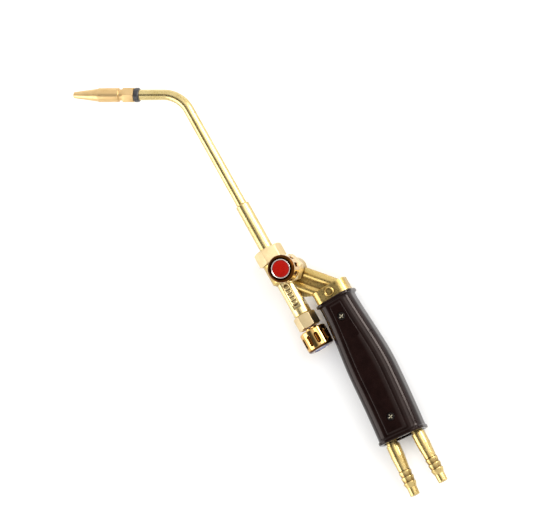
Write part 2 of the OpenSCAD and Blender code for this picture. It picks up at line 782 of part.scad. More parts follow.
// A point of the handle's section at station s
function handle_point(s, p) = let (turn = -handle_bend * s / handle_len) [
    handle_start_q - handle_r * (1 - cos(turn)) + p[0] * cos(turn),
    p[1],
    handle_start_t - handle_r * sin(turn) - p[0] * sin(turn)
];

module cover_shell() {
    n = len(half_outline(10, 10, 5, 0));
    last = len(stations) - 1;
    points = [
        for (s = stations, outline = [outer_outline(s), inner_outline(s)], p = outline) handle_point(s, p)
    ];
    function at(i, side, j) = (2 * i + side) * n + j;
    function two_triangles(a, b, c, d) = [[a, b, c], [a, c, d]];
    walls = [for (i = [0:last - 1], j = [0:n - 2], f = concat(
        two_triangles(at(i, 0, j), at(i + 1, 0, j), at(i + 1, 0, j + 1), at(i, 0, j + 1)),
        two_triangles(at(i, 1, j), at(i, 1, j + 1), at(i + 1, 1, j + 1), at(i + 1, 1, j))
    )) f];
    rims = [for (i = [0:last - 1], f = concat(
        two_triangles(at(i, 0, 0), at(i, 1, 0), at(i + 1, 1, 0), at(i + 1, 0, 0)),
        two_triangles(at(i, 0, n - 1), at(i + 1, 0, n - 1), at(i + 1, 1, n - 1), at(i, 1, n - 1))
    )) f];
    ends = [for (j = [0:n - 2], f = concat(
        two_triangles(at(0, 0, j), at(0, 0, j + 1), at(0, 1, j + 1), at(0, 1, j)),
        two_triangles(at(last, 0, j), at(last, 1, j), at(last, 1, j + 1), at(last, 0, j + 1))
    )) f];
    polyhedron(points = points, faces = concat(walls, rims, ends), convexity = 8);
}

// Places children at each handle screw, with z up
module at_handle_screws() {
    for (s = screw_stations) in_handle_frame(s) rotate([-90, 0, 0]) children();
}

module handle_cover_top() {
    head_floor = handle_t / 2 + panel_rise - handle_head_h - 0.3;
    color("saddlebrown") difference() {
        union() {
            in_ejector_frame() cover_shell();
            at_handle_screws() translate([0, 0, gap / 2]) cylinder(r = handle_boss_r, h = handle_t / 2 - 1);
        }
        at_handle_screws() {
            translate([0, 0, -over]) cylinder(r = handle_screw_r + gap, h = handle_t);
            translate([0, 0, head_floor]) cylinder(r = handle_head_r + 0.2, h = handle_t);
        }
    }
}

module handle_cover_bottom() {
    color("saddlebrown") difference() {
        union() {
            in_ejector_frame() mirror([0, 1, 0]) cover_shell();
            at_handle_screws() translate([0, 0, 1 - handle_t / 2])
                cylinder(r = handle_boss_r, h = handle_t / 2 - 1 - gap / 2);
        }
        at_handle_screws()
            translate([0, 0, -insert_len - 2 * gap]) cylinder(r = insert_r + fit, h = handle_t);
    }
}

module handle_screws() {
    head_floor = handle_t / 2 + panel_rise - handle_head_h - 0.3;
    shank_end = -insert_len + over;
    color("dimgray") at_handle_screws() difference() {
        union() {
            translate([0, 0, shank_end]) cylinder(r = handle_screw_r, h = head_floor - shank_end + over);
            translate([0, 0, head_floor + fit]) cylinder(r = handle_head_r, h = handle_head_h);
        }
        for (turn = [20, 110]) rotate([0, 0, turn])
            translate([-cross_l / 2, -cross_w / 2, head_floor + handle_head_h - cross_depth])
                cube([cross_l, cross_w, 2 * cross_depth]);
    }
}

module handle_screw_inserts() {
    color("goldenrod") at_handle_screws()
        tube(insert_r, handle_screw_r + fit, -insert_len - gap, -gap);
}

module rear_plate() {
    middle = plate_back - plate_t / 2;
    hole_r = tail_root_r + gap;
    color("saddlebrown") difference() {
        in_handle_frame(plate_back - plate_t) round_block(
            2 * (half_width(middle) - cover_wall) - 0.4, handle_t - 2 * cover_wall - 0.3, 6, plate_t - gap
        );
        for (ends = [oxygen_pipe_ends, acetylene_pipe_ends]) in_tail_frame(ends)
            translate([0, 0, -through / 2]) cylinder(r = hole_r, h = through);
    }
}

welding_tip();
tip_seal_ring();
tip_adapter();
mixing_tube();
ejector_sleeve();
ejector_cone();
union_nut();
injector_nozzle();
torch_body();
oxygen_spindle();
oxygen_packing_washer();
oxygen_packing();
oxygen_gland_nut();
oxygen_knob();
oxygen_knob_screw();
oxygen_cap_ring();
oxygen_cap_disc();
acetylene_spindle();
acetylene_packing_washer();
acetylene_packing();
acetylene_gland_nut();
acetylene_knob();
acetylene_knob_screw();
acetylene_cap_ring();
acetylene_cap_disc();
oxygen_pipe();
acetylene_pipe();
oxygen_hose_tail();
acetylene_hose_tail();
handle_cover_top();
handle_cover_bottom();
handle_screws();
handle_screw_inserts();
rear_plate();
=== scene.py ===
import json
import math

import bmesh
import bpy
import numpy as np
from mathutils import Matrix, Vector

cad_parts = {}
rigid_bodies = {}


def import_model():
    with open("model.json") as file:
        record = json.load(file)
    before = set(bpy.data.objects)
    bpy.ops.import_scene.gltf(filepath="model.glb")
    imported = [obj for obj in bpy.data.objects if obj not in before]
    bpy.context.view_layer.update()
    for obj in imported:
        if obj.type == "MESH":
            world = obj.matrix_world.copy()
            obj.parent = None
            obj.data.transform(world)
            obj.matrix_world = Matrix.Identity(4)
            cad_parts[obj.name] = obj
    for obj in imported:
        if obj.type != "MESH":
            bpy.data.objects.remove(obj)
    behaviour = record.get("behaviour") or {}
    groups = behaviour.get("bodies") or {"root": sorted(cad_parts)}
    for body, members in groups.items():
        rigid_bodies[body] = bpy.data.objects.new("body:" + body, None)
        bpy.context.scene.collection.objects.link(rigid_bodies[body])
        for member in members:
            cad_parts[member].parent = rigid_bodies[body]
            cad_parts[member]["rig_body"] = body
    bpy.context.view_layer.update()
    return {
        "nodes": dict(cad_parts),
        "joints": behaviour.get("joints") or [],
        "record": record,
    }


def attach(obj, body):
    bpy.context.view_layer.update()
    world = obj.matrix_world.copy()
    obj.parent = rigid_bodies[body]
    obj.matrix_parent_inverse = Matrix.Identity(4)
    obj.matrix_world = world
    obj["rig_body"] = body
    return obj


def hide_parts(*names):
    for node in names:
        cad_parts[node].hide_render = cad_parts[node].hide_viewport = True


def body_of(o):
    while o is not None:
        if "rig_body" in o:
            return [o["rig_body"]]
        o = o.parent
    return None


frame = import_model()

MM = 0.001
NODES = frame["nodes"]
SLOTS = {s["node"]: s["material_slot"] for s in frame["record"]["subparts"]}

# ---------------------------------------------------------------- sizes, in millimetres

NECK_TILT = math.radians(30)
NECK_LEN = 149.4
BEND_R = 22
BEND_ANGLE = math.pi / 2 - NECK_TILT
BEND_TANGENT = BEND_R * math.tan(BEND_ANGLE / 2)

# Along the flame from the end of the bend
TUBE_R = 4
TUBE_BORE_R = 2.6
SEAL_FROM = 18.6
SEAL_LEN = 4.2
SEAL_R = 5.5
TIP_START = 22.9
HEX_END = TIP_START + 8.5
BARREL_FROM = HEX_END + 3.1
NOSE_FROM = BARREL_FROM + 16.1
TIP_END = NOSE_FROM + 19.2
TIP_HEX_AF = 10.6
GROOVE_R = 4.25
BARREL_R = 5.25
NOSE_BACK_R = 4.8
NOSE_FRONT_R = 2.4
ORIFICE_R = 0.6
ORIFICE_BACK = TIP_END - 12
FUNNEL_BACK = TIP_END - 14
TIP_WAY_R = 1.5
TIP_SOCKET_R = 3.6
TIP_SOCKET_END = TIP_START + 8.2

# Along the ejector axis, positive towards the oxygen knob
SLEEVE_START = -55
SLEEVE_SOCKET = -43
SLEEVE_R = 5.25
COLLAR_START = -14.7
COLLAR_END = -12.1
COLLAR_R = 7.2
UNION_START = -16.8
UNION_END = -5.7
SPIGOT_R = 8
NOSE_SEAT_R = 4.5
NOSE_SEAT_END = -9
CONE_R = 3.25
CONE_FROM = -33

STEM_HALF_W = 6.2

# Valves, with z outward along each spindle
LARGE_HEX_AF = 19.4
SMALL_HEX_AF = 15.2
NUT_LEN = 10.8
NUT_WALL = 2.4
OXYGEN_NUT = 39.5
ACETYLENE_NUT = 13
ACETYLENE_Q = 11.1
ACETYLENE_T = 6.5
SPINDLE_R = 2
KNOB_GAP = 11.4
KNOB_H = 17.2
KNOB_EDGE_R = 2.3
KNOB_R = 10.4
HUB_R = 4.6
HUB_H = 1.5
RECESS_R = 7.25
RECESS_DEPTH = 1.6
DISC_R = 6.4
RING_WALL = 0.7
KNOB_WELL_R = 3
KNOB_WEB_TOP = 10.8
KNOB_SCREW_HOLE_R = 1.25
SPINDLE_SOCKET = 9.2
FLUTES = 10
FLUTE_CLOCK = {"oxygen": 0, "acetylene": math.radians(-12)}
FLUTE_R = 1.6
FLUTE_SINK = 0.3
FLUTE_FROM = 6.8
FLUTE_TO = 12.2

# Handle along its curve
CAP_Q = 27.6
HANDLE_START_T = 40.8
HANDLE_LEN = 115.7
HANDLE_BEND = math.radians(6.3)
HANDLE_CURVE_R = HANDLE_LEN / HANDLE_BEND
FRONT_W = 26.6
REAR_W = 35.6
SWELL_LEN = 65
HANDLE_T = 26
CORNER_FRONT = 8.2
CORNER_REAR = 9.4
PANEL_RISE = 0.4
FLANGE_EXTRA = 1.7
FLANGE_SIDES = (1, 0.35)
COVER_WALL = 2
GRIP_LEN = 3.4
LIP_LEN = 1.4
LIP_DEPTH = 2
NECK_HALF_W = 10.7
NECK_HALF_H = 6.5
SCREW_STATIONS = (15.7, 99)
SCREW_HEAD_R = 3.1
SCREW_HEAD_H = 1.8
SCREW_SHANK_R = 1.5
SCREW_HOLE_R = 1.6
MOULD_RING_AT = 35.5

# Gas pipes and hose tails: (q, t) where each pipe leaves the cap and where its tail leaves the handle
PIPE_ENDS = {
    "oxygen": (Vector((21.2, 40.7)), Vector((11, 156.8))),
    "acetylene": (Vector((34.2, 40.7)), Vector((31.9, 158.4))),
}
TAIL_LEN = 41.5
TAIL_ROOT = -9
TAIL_ROOT_R = 4.4
TAIL_SOCKET_R = 3.25
TAIL_SOCKET_END = -1.4
TAIL_BODY_R = 5.2
BARB_R = 4.9
BARB_ROOT_R = 4.2
BARB_LAND = 0.7
BARB_PITCH = 4.43
BARB_COUNT = 3
WAIST_END = 22
WAIST_R = 4.4
PIN_R = 3.7
TAIL_BORE_R = 2

# ---------------------------------------------------------------- frames of the pieces

BODY = Vector(next(j["pos_m"] for j in frame["joints"] if j["name"] == "neck_swivel"))
ACROSS = Vector((math.cos(NECK_TILT), math.sin(NECK_TILT), 0))
UP = Vector((0, 0, 1))
ALONG = Vector((math.sin(NECK_TILT), -math.cos(NECK_TILT), 0))
FLAME = Vector((-1, 0, 0))


def frame_matrix(origin, x, y, z):
    return Matrix.Translation(origin) @ Matrix((x, y, z)).transposed().to_4x4()


def shifted(matrix, x=0, y=0, z=0):
    """The same frame, moved along its own axes by millimetres."""
    return matrix @ Matrix.Translation(Vector((x, y, z)) * MM)


EJECTOR = frame_matrix(BODY, ACROSS, UP, ALONG)
BEND_CORNER = BODY - ALONG * NECK_LEN * MM
TIP = frame_matrix(BEND_CORNER + FLAME * BEND_TANGENT * MM, UP, Vector((0, 1, 0)), FLAME)
ACETYLENE = shifted(EJECTOR, ACETYLENE_Q, 0, ACETYLENE_T) @ Matrix.Rotation(-math.pi / 2, 4, "X")


def tail_frame(gas):
    """Frame of a hose tail: z runs along it from where it leaves the handle."""
    start, end = PIPE_ENDS[gas]
    lean = math.atan2(end.x - start.x, end.y - start.y)
    return shifted(EJECTOR, end.x, 0, end.y) @ Matrix.Rotation(lean, 4, "Y")


def handle_frame(s):
    """Frame of the handle s millimetres along its curve: x is across, y is up, z is along."""
    turn = -HANDLE_BEND * s / HANDLE_LEN
    q = CAP_Q - HANDLE_CURVE_R * (1 - math.cos(turn))
    t = HANDLE_START_T - HANDLE_CURVE_R * math.sin(turn)
    return shifted(EJECTOR, q, 0, t) @ Matrix.Rotation(turn, 4, "Y")


def screw_frame(s):
    """Frame of a handle screw: z is up along the screw."""
    return handle_frame(s) @ Matrix.Rotation(-math.pi / 2, 4, "X")


# ---------------------------------------------------------------- materials


class Surface:
    """A Principled material, with short ways to add nodes to it."""

    def __init__(self, name, **inputs):
        self.material = bpy.data.materials.new(name)
        self.material.use_nodes = True
        self.tree = self.material.node_tree
        self.shader = self.tree.nodes["Principled BSDF"]
        for key, value in inputs.items():
            self.put(self.shader, key.replace("_", " "), value)
        self.place = self.add("ShaderNodeTexCoord").outputs["Object"]

    def put(self, node, key, value):
        socket = node.inputs[key]
        if isinstance(value, bpy.types.NodeSocket):
            self.tree.links.new(value, socket)
        else:
            socket.default_value = value

    def add(self, kind, inputs=None, **settings):
        node = self.tree.nodes.new(kind)
        for key, value in settings.items():
            setattr(node, key, value)
        for key, value in (inputs or {}).items():
            self.put(node, key, value)
        return node

    def noise(self, scale, detail=3, rough=0.55, place=None):
        """Noise from 0 to 1, with features about 1 / scale metres across."""
        return self.add("ShaderNodeTexNoise", {
            "Vector": place or self.place, "Scale": scale, "Detail": detail, "Roughness": rough,
        }).outputs["Fac"]

    def stretch(self, x, y, z):
        """Object coordinates scaled by axis."""
        return self.add(
            "ShaderNodeVectorMath", {0: self.place, 1: (x, y, z)}, operation="MULTIPLY",
        ).outputs[0]

    def rings(self, per_mm):
        """Noise that changes only along a turned piece, as lathe marks do."""
        return self.along((0, per_mm, 0))

    def streaks(self, round_it, per_mm):
        """Noise stretched along a drawn piece."""
        return self.along((round_it, per_mm, 0))

    def stored(self, name, low, high):
        """0 to 1 as a number stored with the mesh goes from low to high."""
        value = self.add("ShaderNodeAttribute", attribute_name=name).outputs["Fac"]
        return self.add("ShaderNodeMapRange", {
            "Value": value, "From Min": low, "From Max": high, "To Min": 0.0, "To Max": 1.0,
        }).outputs["Result"]

    def along(self, scale):
        mapped = self.add("ShaderNodeVectorMath", {
            0: self.add("ShaderNodeTexCoord").outputs["UV"], 1: scale,
        }, operation="MULTIPLY").outputs[0]
        return self.noise(1, 4, 0.65, mapped)

    def ramp(self, value, *stops):
        """Colours at places from 0 to 1."""
        node = self.add("ShaderNodeValToRGB", {"Fac": value})
        elements = node.color_ramp.elements
        while len(elements) < len(stops):
            elements.new(0.5)
        for element, (place, colour) in zip(elements, stops):
            element.position = place
            element.color = (*colour, 1)
        return node.outputs["Color"]

    def span(self, value, low, high, start=0.3, end=0.7):
        """Maps start..end of a noise to low..high."""
        return self.add("ShaderNodeMapRange", {
            "Value": value, "From Min": start, "From Max": end, "To Min": low, "To Max": high,
        }).outputs["Result"]

    def mix(self, factor, a, b, blend="MIX"):
        node = self.add("ShaderNodeMix", data_type="RGBA", blend_type=blend)
        for key, value in ((0, factor), (6, a), (7, b)):
            if isinstance(value, tuple):
                value = (*value, 1)
            self.put(node, key, value)
        return node.outputs[2]

    def bump(self, *layers):
        """Stacks (height, distance in millimetres, strength) bumps on the normal."""
        normal = None
        for height, distance, strength in layers:
            inputs = {"Height": height, "Distance": distance * MM, "Strength": strength}
            if normal:
                inputs["Normal"] = normal
            normal = self.add("ShaderNodeBump", inputs).outputs["Normal"]
        self.put(self.shader, "Normal", normal)
        return self

    def set(self, key, value):
        self.put(self.shader, key, value)
        return self


def shaded(colour, factors):
    return tuple(c * k for c, k in zip(colour, factors))


def brass(
    name, bright, deep, rough, marks=None, marks_depth=0.004, grain=0.0, grain_scale=2500,
    patina=0.35, hollow_shade=(0.26, 0.17, 0.1),
):
    """Brass that varies between two colours, with fine marks from how it was made.

    patina is how strongly stains show, and the last argument is what its deep colour is multiplied by for
    painted shade in hollows; ridges get a painted highlight."""
    s = Surface(name, Metallic=1.0)
    base = s.ramp(s.noise(90, 4), (0.32, deep), (0.62, bright))
    stain = s.noise(260, 5, 0.7)
    base = s.mix(s.span(stain, 0, patina, 0.55, 0.75), base, shaded(deep, (0.8, 0.68, 0.5)))
    base = s.mix(s.stored("machined", 0, 1), base, (0.68, 0.56, 0.30))
    # Painted shade: the deep colour darkened where cavity marks a hollow
    base = s.mix(s.stored("cavity", 0.05, 0.7), base, shaded(deep, hollow_shade))
    # Painted highlight: a lighter colour on ridges, where cavity is below zero
    base = s.mix(s.stored("cavity", -0.15, -0.9), base, tuple(min(1, c * 1.12) for c in bright))
    s.set("Base Color", base)
    s.set("Roughness", s.span(s.noise(900, 3), rough * 0.75, rough * 1.35))
    layers = [(s.noise(grain_scale, 3), 0.05, grain)] if grain else []
    if marks == "turned":
        layers.append((s.rings(3.5), marks_depth, 1.0))
    if marks == "drawn":
        layers.append((s.streaks(26, 0.04), marks_depth, 1.0))
    layers.append((s.noise(260, 2), 0.02, 0.12))
    s.bump(*layers)
    return s.material


def steel(name, bright, rough):
    s = Surface(name, Metallic=1.0)
    s.set("Base Color", s.ramp(s.noise(300, 4), (0.3, tuple(c * 0.72 for c in bright)), (0.7, bright)))
    s.set("Roughness", s.span(s.noise(1400, 3), rough * 0.8, rough * 1.4))
    s.bump((s.rings(4), 0.003, 1.0), (s.noise(2200, 3), 0.01, 0.3))
    return s.material


def blackened_steel(name):
    """Blackened screws whose cross recesses are painted bright, a painted glint."""
    s = Surface(name, Metallic=1.0)
    black = s.ramp(s.noise(500, 4), (0.3, (0.022, 0.018, 0.017)), (0.7, (0.05, 0.042, 0.04)))
    recess_glint = s.ramp(s.noise(1500, 3), (0.35, (0.30, 0.26, 0.14)), (0.65, (0.62, 0.58, 0.48)))
    # Painted glint: the cross recesses painted bright on the black head
    s.set("Base Color", s.mix(s.stored("recess_glint", 0.2, 0.8), black, recess_glint))
    s.set("Roughness", s.span(s.noise(1400, 3), 0.18, 0.36))
    s.bump((s.noise(2200, 3), 0.01, 0.3))
    return s.material


def gloss_disc(name, bright, deep):
    """Glossy plastic disc, a little deeper in patches, under a clear skin."""
    s = Surface(name, Coat_Weight=0.1, Coat_Roughness=0.06, Specular_IOR_Level=0.15)
    s.set("Base Color", s.ramp(s.noise(420, 4, 0.6), (0.3, deep), (0.7, bright)))
    s.set("Roughness", s.span(s.noise(1500, 3), 0.2, 0.34))
    s.bump((s.noise(1100, 3), 0.03, 0.25))
    return s.material


def rubber(name):
    s = Surface(name, Specular_IOR_Level=0.6)
    s.set("Base Color", s.ramp(s.noise(700, 4), (0.3, (0.012, 0.012, 0.013)), (0.7, (0.035, 0.035, 0.038))))
    s.set("Roughness", s.span(s.noise(1600, 3), 0.22, 0.42))
    s.bump((s.noise(3200, 4), 0.03, 0.4))
    return s.material


def fibre_packing(name):
    s = Surface(name)
    s.set("Base Color", s.ramp(s.noise(1800, 5), (0.3, (0.55, 0.54, 0.5)), (0.7, (0.82, 0.81, 0.77))))
    s.set("Roughness", s.span(s.noise(2400, 3), 0.5, 0.75))
    s.bump((s.noise(4200, 4), 0.05, 0.6))
    return s.material


def moulded_plastic(name):
    """Phenolic handle: nearly black brown, faintly marbled, with a moulded gloss and fine rubs."""
    s = Surface(name, Specular_IOR_Level=0.2, Specular_Tint=(1, 0.86, 0.8, 1))
    marble = s.ramp(
        s.noise(120, 6, 0.62), (0.35, (0.0055, 0.0022, 0.0019)), (0.65, (0.0095, 0.0038, 0.0032)),
    )
    fleck = s.span(s.noise(2600, 2), 0, 0.2, 0.62, 0.75)
    s.set("Base Color", s.mix(fleck, marble, (0.03, 0.013, 0.01)))
    s.set("Roughness", s.span(s.noise(420, 5, 0.7), 0.1, 0.2))
    s.bump(
        (s.noise(3600, 3), 0.01, 0.3),
        (s.noise(140, 2), 0.08, 0.2),
        (s.noise(900, 4, 0.6, s.stretch(1, 0.12, 1)), 0.008, 0.3),
    )
    return s.material


MATERIALS = {
    "tip_brass": brass(
        "tip_brass", (0.72, 0.51, 0.25), (0.64, 0.43, 0.19), 0.36, "turned", 0.001, patina=0.15,
    ),
    "seal_ring": rubber("seal_ring"),
    "machined_brass": brass(
        "machined_brass", (0.84, 0.68, 0.38), (0.72, 0.54, 0.26), 0.2, "turned", 0.004,
    ),
    "drawn_brass": brass(
        "drawn_brass", (0.66, 0.53, 0.25), (0.55, 0.42, 0.17), 0.24, "drawn", 0.001, patina=0.2,
    ),
    "nut_brass": brass("nut_brass", (0.70, 0.56, 0.32), (0.61, 0.47, 0.25), 0.36, None, grain=0.15),
    "forged_brass": brass(
        "forged_brass", (0.56, 0.41, 0.15), (0.42, 0.29, 0.085), 0.3, None, grain=0.1, grain_scale=1900,
        patina=0.2,
    ),
    "spindle_steel": steel("spindle_steel", (0.66, 0.66, 0.64), 0.28),
    "packing": fibre_packing("packing"),
    # Its very dark last argument gives the knobs painted shade in their flutes and a painted dark reflection
    # round the cap disc
    "polished_brass": brass(
        "polished_brass", (0.72, 0.46, 0.17), (0.55, 0.31, 0.08), 0.1, "turned", 0.001, patina=0.3,
        hollow_shade=(0.13, 0.07, 0.04),
    ),
    "screw_steel": blackened_steel("screw_steel"),
    "bright_ring": steel("bright_ring", (0.82, 0.72, 0.67), 0.14),
    "blue_disc": gloss_disc("blue_disc", (0.02, 0.09, 0.42), (0.012, 0.05, 0.28)),
    "red_disc": gloss_disc("red_disc", (0.34, 0.006, 0.002), (0.28, 0.004, 0.001)),
    "tail_brass": brass(
        "tail_brass", (0.58, 0.44, 0.185), (0.46, 0.33, 0.12), 0.26, "turned", 0.001, patina=0.2,
    ),
    "handle_plastic": moulded_plastic("handle_plastic"),
}

# ---------------------------------------------------------------- mesh helpers


def new_piece(name, node, verts, faces, uvs=None, smooth_angle=35):
    """A mesh piece from points in metres, which stands for a CAD node and rides with its body."""
    mesh = bpy.data.meshes.new(name)
    mesh.from_pydata([tuple(v) for v in verts], [], faces)
    if uvs:
        layer = mesh.uv_layers.new(name="made").data
        for loop, uv in zip(layer, (uv for face in uvs for uv in face)):
            loop.uv = uv
    bm = bmesh.new()
    bm.from_mesh(mesh)
    bmesh.ops.remove_doubles(bm, verts=bm.verts, dist=1e-6)
    bmesh.ops.recalc_face_normals(bm, faces=bm.faces)
    bm.to_mesh(mesh)
    bm.free()
    piece = bpy.data.objects.new(name, mesh)
    bpy.context.scene.collection.objects.link(piece)
    mesh.shade_smooth()
    mesh.set_sharp_from_angle(angle=math.radians(smooth_angle))
    mesh.materials.append(MATERIALS[SLOTS[node]])
    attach(piece, body_of(NODES[node])[0])
    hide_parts(node)
    return piece


def store_values(piece, name, values):
    """One number for each vertex, which the piece's material reads.

    cavity is how much painted shade a vertex gets, from 0 to 1, mostly in hollows, or how much painted
    highlight it gets on a ridge, down to -1. machined is how far a forging's surface there is a cut face,
    from 0 to 1. The screws store how far each cross recess is painted bright, a painted glint."""
    layer = piece.data.attributes.new(name, "FLOAT", "POINT")
    layer.data.foreach_set("value", values)


def rounded(points, steps=4):
    """A path through (r, z, fillet) corners, where each corner with a fillet becomes an arc."""
    path = []
    for i, (r, z, fillet) in enumerate(points):
        here = Vector((r, z))
        if not fillet or i in (0, len(points) - 1):
            path.append(here)
            continue
        before = Vector(points[i - 1][:2]) - here
        after = Vector(points[i + 1][:2]) - here
        if min(before.length, after.length) < 1e-4:
            path += [here] * (steps + 1)
            continue
        half = before.angle(after) / 2
        cut = min(fillet / math.tan(half), before.length * 0.48, after.length * 0.48)
        start = here + before.normalized() * cut
        end = here + after.normalized() * cut
        for k in range(steps + 1):
            f = k / steps
            path.append(start * (1 - f) ** 2 + here * 2 * f * (1 - f) + end * f ** 2)
    return path


def turned(name, node, matrix, profile, angles=96, steps=4, closed=True, smooth_angle=35):
    """Turns a path of (r, z, fillet) corners in millimetres about a frame's z axis.

    profile is the list of corners, or a function of the angle that returns it. A closed path ends where it
    began, which leaves a bore. An open one starts and ends on the axis."""
    if isinstance(angles, int):
        angles = [2 * math.pi * k / angles for k in range(angles)]
    paths = [rounded(profile(a) if callable(profile) else profile, steps) for a in angles]
    count, rings = len(angles), len(paths[0])
    lengths = [0]
    for a, b in zip(paths[0], paths[0][1:] + paths[0][:1]):
        lengths.append(lengths[-1] + (b - a).length)
    verts = []
    for i in range(rings):
        for k, a in enumerate(angles):
            r, z = paths[k][i]
            verts.append(matrix @ (Vector((r * math.cos(a), r * math.sin(a), z)) * MM))
    faces, uvs = [], []
    for i in range(rings if closed else rings - 1):
        j = (i + 1) % rings
        for k in range(count):
            m = (k + 1) % count
            faces.append((i * count + k, i * count + m, j * count + m, j * count + k))
            u, v = k / count, (k + 1) / count
            uvs.append(((u, lengths[i]), (v, lengths[i]), (v, lengths[i + 1]), (u, lengths[i + 1])))
    return new_piece(name, node, verts, faces, uvs, smooth_angle)


def hexagon_r(angle, across_flats, clock, corner=0.5):
    """Radius of a hexagon at an angle, with its corners rounded a little."""
    half = across_flats / 2
    from_corner = abs((angle - clock + math.pi / 6) % (math.pi / 3) - math.pi / 6)
    inner = (half - corner) / math.cos(math.pi / 6)
    tangent = math.pi / 6 - math.atan((half - corner) * math.tan(math.pi / 6) / half)
    if from_corner > tangent:
        return half / math.cos(math.pi / 6 - from_corner)
    return inner * math.cos(from_corner) + math.sqrt(corner ** 2 - (inner * math.sin(from_corner)) ** 2)


def hexagon_angles(across_flats, clock, corner=0.5, on_flat=10):
    """Angles round a hexagon, closer together at its corners."""
    half = across_flats / 2
    tangent = math.pi / 6 - math.atan((half - corner) * math.tan(math.pi / 6) / half)
    angles = []
    for k in range(6):
        middle = clock + k * math.pi / 3
        angles += [middle + tangent * f / 3 for f in range(-3, 4)]
        start, end = middle + tangent, middle + math.pi / 3 - tangent
        angles += [start + (end - start) * f / on_flat for f in range(1, on_flat)]
    return angles


def hexagon_wall(angle, across_flats, start, length, clock, fillet=0.22):
    """Corners of a chamfered hexagon's outside at one angle, from its start to its end."""
    corner_r = across_flats / math.sqrt(3)
    chamfer_r = across_flats / 2 * 0.99
    r = hexagon_r(angle, across_flats, clock)
    rise = max(0.02, (r - chamfer_r) * 0.58)
    face_r = min(chamfer_r, r - 0.02)
    return [
        (face_r, start, fillet), (r, start + rise, fillet),
        (r, start + length - rise, fillet), (face_r, start + length, fillet),
    ]


# ---------------------------------------------------------------- welding tip, seal ring and neck


def make_tip():
    def profile(angle):
        return [
            (TIP_SOCKET_R, TIP_START, 0),
            *hexagon_wall(angle, TIP_HEX_AF, TIP_START, HEX_END - TIP_START, 0, 0.15),
            (GROOVE_R, HEX_END, 0.3), (GROOVE_R, BARREL_FROM, 0.3),
            (BARREL_R - 0.15, BARREL_FROM, 0.05), (BARREL_R, BARREL_FROM + 0.15, 0.05),
            (BARREL_R, NOSE_FROM - 0.5, 0.3), (NOSE_BACK_R, NOSE_FROM + 0.2, 0.2),
            (NOSE_FRONT_R, TIP_END - 0.7, 0.5), (NOSE_FRONT_R - 0.9, TIP_END, 0.25),
            (ORIFICE_R + 0.15, TIP_END, 0.1), (ORIFICE_R, TIP_END - 0.2, 0.1),
            (ORIFICE_R, ORIFICE_BACK, 0), (TIP_WAY_R, FUNNEL_BACK, 0),
            (TIP_WAY_R, TIP_SOCKET_END, 0), (TIP_SOCKET_R, TIP_SOCKET_END, 0),
        ]

    turned("tip", "welding_tip", TIP, profile, hexagon_angles(TIP_HEX_AF, 0))


def make_seal_ring():
    bore = TUBE_R + 0.05
    turned("tip_seal", "tip_seal_ring", TIP, [
        (bore, SEAL_FROM + 0.2, 0), (bore + 0.3, SEAL_FROM, 0.1), (SEAL_R - 0.5, SEAL_FROM + 0.1, 0.6),
        (SEAL_R, SEAL_FROM + 1.2, 1.0), (SEAL_R - 0.12, SEAL_FROM + 2.1, 0.7), (SEAL_R, SEAL_FROM + 3.0, 1.0),
        (SEAL_R - 0.5, SEAL_FROM + SEAL_LEN - 0.1, 0.6), (bore + 0.3, SEAL_FROM + SEAL_LEN, 0.1),
        (bore, SEAL_FROM + SEAL_LEN - 0.2, 0),
    ])


def neck_stations(neck_steps=12, bend_steps=32, tip_steps=6):
    """Point, direction and length run so far along the neck's centreline, from the sleeve to the tip."""
    start = BODY + ALONG * SLEEVE_SOCKET * MM
    bend_start = BEND_CORNER + ALONG * BEND_TANGENT * MM
    straight = (start - bend_start).length
    stations = [
        (start.lerp(bend_start, k / neck_steps), -ALONG, straight * k / neck_steps) for k in range(neck_steps)
    ]
    inward = (-ACROSS) * BEND_R * MM
    centre = bend_start + inward
    for k in range(bend_steps + 1):
        turn = Matrix.Rotation(BEND_ANGLE * k / bend_steps, 4, "Z")
        run = straight + BEND_R * BEND_ANGLE * k / bend_steps * MM
        stations.append((centre + turn @ -inward, turn @ -ALONG, run))
    corner = stations[-1]
    end = (SEAL_FROM + SEAL_LEN - 0.1) * MM
    for k in range(1, tip_steps + 1):
        stations.append((corner[0] + FLAME * end * k / tip_steps, FLAME, corner[2] + end * k / tip_steps))
    return stations


def make_neck_tube(segments=72):
    """Outside and bore of the mixing tube, swept along the neck."""
    stations = neck_stations()
    rings = [(place, way, run, TUBE_R) for place, way, run in stations]
    rings += [(place, way, run, TUBE_BORE_R) for place, way, run in reversed(stations)]
    verts, faces, uvs = [], [], []
    for place, way, run, r in rings:
        side = way.cross(UP)
        for k in range(segments):
            a = 2 * math.pi * k / segments - math.pi / 2
            verts.append(place + (side * math.cos(a) + UP * math.sin(a)) * r * MM)
    for i, ring in enumerate(rings):
        j = (i + 1) % len(rings)
        for k in range(segments):
            m = (k + 1) % segments
            faces.append((i * segments + k, i * segments + m, j * segments + m, j * segments + k))
            u, v = k / segments, (k + 1) / segments
            a, b = ring[2] / MM, rings[j][2] / MM
            uvs.append(((u, a), (v, a), (v, b), (u, b)))
    new_piece("neck_tube", "mixing_tube", verts, faces, uvs)


